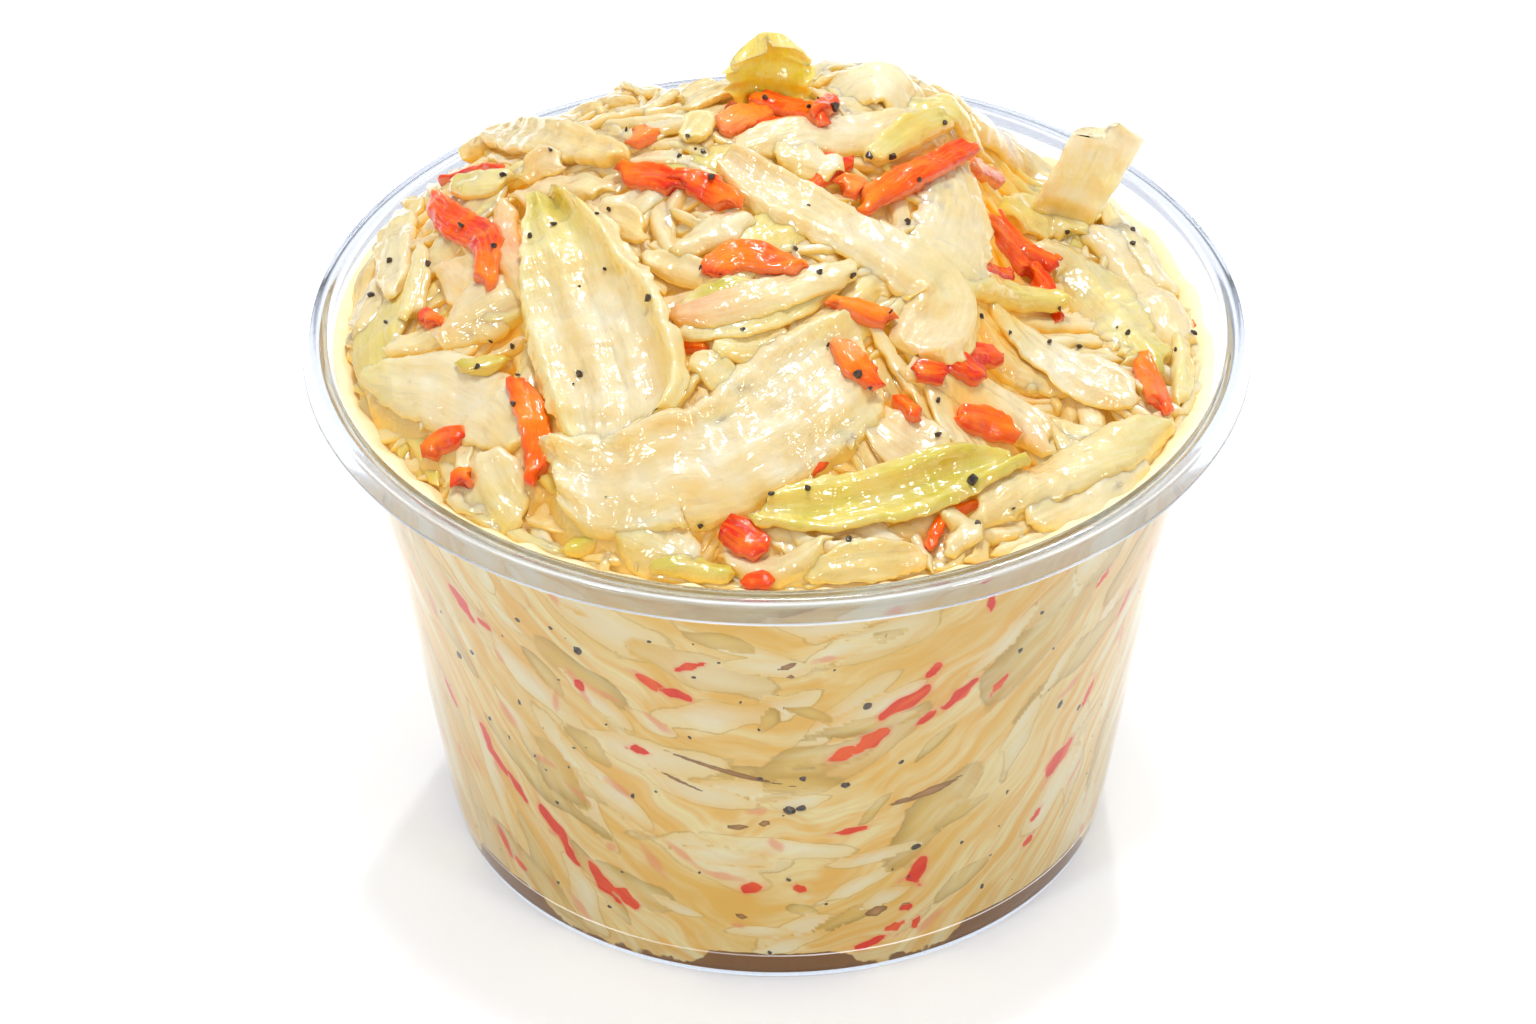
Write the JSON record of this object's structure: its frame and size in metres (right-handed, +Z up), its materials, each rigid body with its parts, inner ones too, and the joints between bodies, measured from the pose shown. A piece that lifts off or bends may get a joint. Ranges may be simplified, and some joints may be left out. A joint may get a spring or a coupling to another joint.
{
  "type": "coleslaw in a cup",
  "caption": "Coleslaw of shredded cabbage and carrot in a creamy dressing, heaped above the rim of a clear round deli cup.",
  "frame": {"origin": "centre of the circle that the foot stands on, at its lowest point", "axes": "+Z up along the cup's axis, -Y to the front, where the large leaf band lies, and +X to the right"},
  "size_m": [0.098, 0.098, 0.0839],
  "materials": {
    "clear_plastic": "clear thermoformed PET, glossy",
    "dressed_cabbage": "wet shredded cabbage in creamy dressing, soft gloss",
    "carrot": "wet carrot shreds, glossy",
    "pepper": "coarse ground black pepper"
  },
  "bodies": {
    "root": {"cup": "clear_plastic", "slaw": "dressed_cabbage"}
  },
  "joints": []
}
